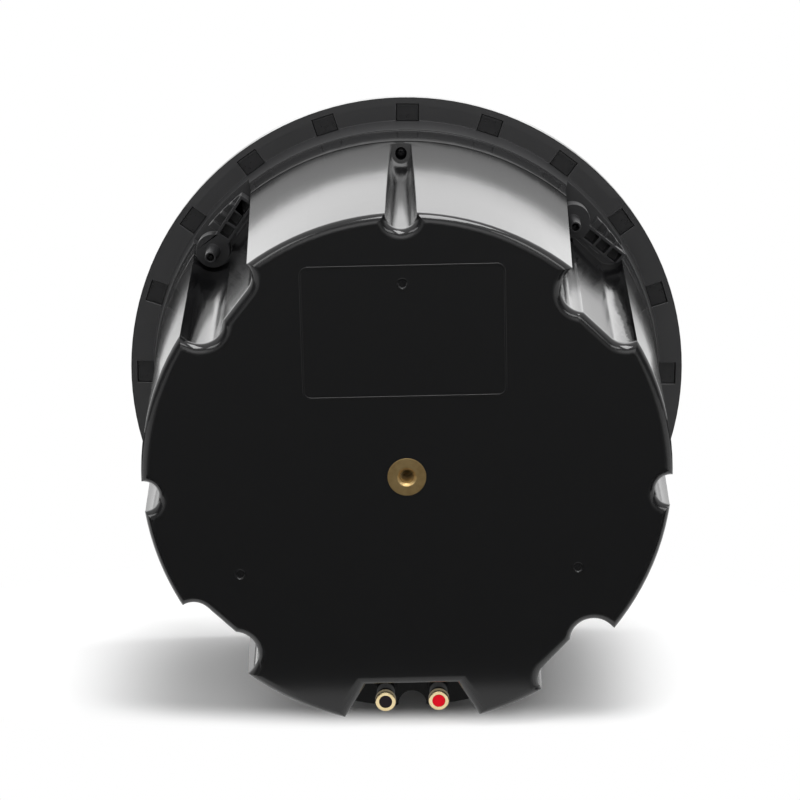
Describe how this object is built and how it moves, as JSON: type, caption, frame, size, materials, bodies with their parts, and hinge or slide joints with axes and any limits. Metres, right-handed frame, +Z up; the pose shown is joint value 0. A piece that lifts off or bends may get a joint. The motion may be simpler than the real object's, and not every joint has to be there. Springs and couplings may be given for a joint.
{
  "type": "in-wall speaker",
  "caption": "Round in-wall loudspeaker with a closed moulded back can, swing-out clamps behind the flange, push terminals, a coaxial driver and a magnetic grille.",
  "frame": {"origin": "centre of the flange's wall-side face", "axes": "+Z up as installed, +Y out of the wall into the room, X across; the can points along -Y"},
  "size_m": [0.296, 0.2123, 0.296],
  "materials": {
    "frame_plastic": "satin black moulding",
    "can_plastic": "gloss black moulding",
    "clamp_plastic": "satin black moulding",
    "grille_paint": "paintable white",
    "nickel": "nickel plated",
    "ferrite": "dark sintered",
    "soft_rubber": "matte",
    "zinc": "zinc plated",
    "black_steel": "black paint",
    "black_oxide": "black oxide",
    "brass": "turned brass",
    "gold": "gold plated",
    "disc_black": "black",
    "disc_red": "red",
    "paper": "dark pulp",
    "cloth": "treated cloth",
    "former": "copper winding on an aluminium former",
    "silk": "coated silk",
    "board": "green circuit board",
    "film": "amber film",
    "copper": "enamelled copper wire",
    "cement": "cement"
  },
  "bodies": {
    "speaker": {"front_frame": "frame_plastic", "grille": "grille_paint", "grille_magnets": "nickel", "can_gasket": "soft_rubber", "rear_can": "can_plastic", "can_screws": "black_oxide", "hanger_insert": "brass", "terminal_nuts": "zinc", "woofer_basket": "black_steel", "woofer_screws": "zinc", "woofer_yoke": "zinc", "surround": "soft_rubber", "spider": "cloth", "tweeter_bridge": "frame_plastic", "bridge_screws": "zinc", "tweeter_housing": "frame_plastic", "tweeter_plate": "zinc", "tweeter_magnet": "ferrite", "tweeter_yoke": "zinc", "tweeter_dome": "silk", "tweeter_faceplate": "frame_plastic", "crossover_board": "board", "board_screws": "zinc", "crossover_capacitors": "film", "crossover_resistor": "cement", "woofer_gasket": "soft_rubber", "woofer_top_plate": "zinc", "woofer_magnet": "ferrite", "crossover_choke": "copper", "terminal_post_negative": "black_oxide", "terminal_spring_negative": "zinc", "terminal_post_positive": "black_oxide", "terminal_spring_positive": "zinc"},
    "woofer_diaphragm": {"woofer_cone": "paper", "dust_cap": "paper", "voice_coil": "former"},
    "clamp_nut_upper_right": {"clamp_nut_upper_right": "zinc"},
    "clamp_arm_upper_right": {"clamp_arm_upper_right": "clamp_plastic"},
    "clamp_screw_upper_right": {"clamp_screw_upper_right": "black_oxide"},
    "clamp_nut_upper_left": {"clamp_nut_upper_left": "zinc"},
    "clamp_arm_upper_left": {"clamp_arm_upper_left": "clamp_plastic"},
    "clamp_screw_upper_left": {"clamp_screw_upper_left": "black_oxide"},
    "clamp_nut_lower_left": {"clamp_nut_lower_left": "zinc"},
    "clamp_arm_lower_left": {"clamp_arm_lower_left": "clamp_plastic"},
    "clamp_screw_lower_left": {"clamp_screw_lower_left": "black_oxide"},
    "clamp_nut_lower_right": {"clamp_nut_lower_right": "zinc"},
    "clamp_arm_lower_right": {"clamp_arm_lower_right": "clamp_plastic"},
    "clamp_screw_lower_right": {"clamp_screw_lower_right": "black_oxide"},
    "terminal_button_negative": {"terminal_button_negative": "gold", "terminal_disc_negative": "disc_black"},
    "terminal_button_positive": {"terminal_button_positive": "gold", "terminal_disc_positive": "disc_red"}
  },
  "joints": [
    {"name": "cone_excursion", "type": "slide", "parent": "speaker", "child": "woofer_diaphragm", "axis": [0, 1, 0], "range_m": [-0.004, 0.004], "stiffness_N_per_m": 1800, "deforming": ["surround", "spider"]},
    {"name": "clamp_travel_upper_right", "type": "slide", "parent": "speaker", "child": "clamp_nut_upper_right", "axis": [0, 1, 0], "range_m": [0, 0.033]},
    {"name": "clamp_swing_upper_right", "type": "hinge", "parent": "clamp_nut_upper_right", "child": "clamp_arm_upper_right", "pos_m": [0.08662, -0.0476, 0.0897], "axis": [0, -1, 0], "range_deg": [0, 86]},
    {"name": "clamp_screw_turn_upper_right", "type": "hinge", "parent": "speaker", "child": "clamp_screw_upper_right", "pos_m": [0.08662, -0.0476, 0.0897], "axis": [0, -1, 0], "range_deg": [0, 5940]},
    {"name": "clamp_travel_upper_left", "type": "slide", "parent": "speaker", "child": "clamp_nut_upper_left", "axis": [0, 1, 0], "range_m": [0, 0.033]},
    {"name": "clamp_swing_upper_left", "type": "hinge", "parent": "clamp_nut_upper_left", "child": "clamp_arm_upper_left", "pos_m": [-0.09691, -0.0476, 0.07848], "axis": [0, -1, 0], "range_deg": [0, 86]},
    {"name": "clamp_screw_turn_upper_left", "type": "hinge", "parent": "speaker", "child": "clamp_screw_upper_left", "pos_m": [-0.09691, -0.0476, 0.07848], "axis": [0, -1, 0], "range_deg": [0, 5940]},
    {"name": "clamp_travel_lower_left", "type": "slide", "parent": "speaker", "child": "clamp_nut_lower_left", "axis": [0, 1, 0], "range_m": [0, 0.033]},
    {"name": "clamp_swing_lower_left", "type": "hinge", "parent": "clamp_nut_lower_left", "child": "clamp_arm_lower_left", "pos_m": [-0.08662, -0.0476, -0.0897], "axis": [0, -1, 0], "range_deg": [0, 86]},
    {"name": "clamp_screw_turn_lower_left", "type": "hinge", "parent": "speaker", "child": "clamp_screw_lower_left", "pos_m": [-0.08662, -0.0476, -0.0897], "axis": [0, -1, 0], "range_deg": [0, 5940]},
    {"name": "clamp_travel_lower_right", "type": "slide", "parent": "speaker", "child": "clamp_nut_lower_right", "axis": [0, 1, 0], "range_m": [0, 0.033]},
    {"name": "clamp_swing_lower_right", "type": "hinge", "parent": "clamp_nut_lower_right", "child": "clamp_arm_lower_right", "pos_m": [0.0897, -0.0476, -0.08662], "axis": [0, -1, 0], "range_deg": [0, 86]},
    {"name": "clamp_screw_turn_lower_right", "type": "hinge", "parent": "speaker", "child": "clamp_screw_lower_right", "pos_m": [0.0897, -0.0476, -0.08662], "axis": [0, -1, 0], "range_deg": [0, 5940]},
    {"name": "terminal_press_negative", "type": "slide", "parent": "speaker", "child": "terminal_button_negative", "axis": [0, 1, 0], "range_m": [0, 0.0035], "stiffness_N_per_m": 700, "springref_m": -0.002, "deforming": ["terminal_spring_negative"]},
    {"name": "terminal_press_positive", "type": "slide", "parent": "speaker", "child": "terminal_button_positive", "axis": [0, 1, 0], "range_m": [0, 0.0035], "stiffness_N_per_m": 700, "springref_m": -0.002, "deforming": ["terminal_spring_positive"]}
  ],
  "couplings": [
    {"joint": "clamp_screw_turn_upper_right", "follows": "clamp_travel_upper_right", "rad_per_m": 3141.6},
    {"joint": "clamp_screw_turn_upper_left", "follows": "clamp_travel_upper_left", "rad_per_m": 3141.6},
    {"joint": "clamp_screw_turn_lower_left", "follows": "clamp_travel_lower_left", "rad_per_m": 3141.6},
    {"joint": "clamp_screw_turn_lower_right", "follows": "clamp_travel_lower_right", "rad_per_m": 3141.6}
  ]
}
